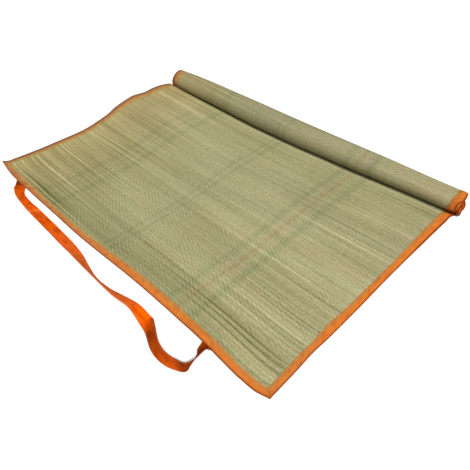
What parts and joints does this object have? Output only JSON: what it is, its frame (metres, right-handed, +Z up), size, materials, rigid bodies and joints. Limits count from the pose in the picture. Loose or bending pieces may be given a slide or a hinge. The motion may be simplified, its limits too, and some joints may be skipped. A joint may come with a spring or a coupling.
{
  "type": "beach mat",
  "caption": "Woven sedge beach mat, partly unrolled, with cloth binding on its edges and a sewn carrying strap along its near edge.",
  "frame": {"origin": "on the ground, at the centre of the whole part's plan box", "axes": "+X across the mat, along the roll, +Y from the near edge with the strap towards the roll, +Z up"},
  "size_m": [0.9148, 0.6644, 0.0609],
  "materials": {
    "mat_panel": "woven sedge, matte",
    "binding_near": "plain woven tape",
    "binding_left": "plain woven tape",
    "binding_right": "plain woven tape",
    "carry_strap": "folded and sewn cloth strap"
  },
  "bodies": {
    "root": {"mat_panel": "mat_panel", "binding_near": "binding_near", "binding_left": "binding_left", "binding_right": "binding_right", "carry_strap": "carry_strap"}
  },
  "joints": []
}
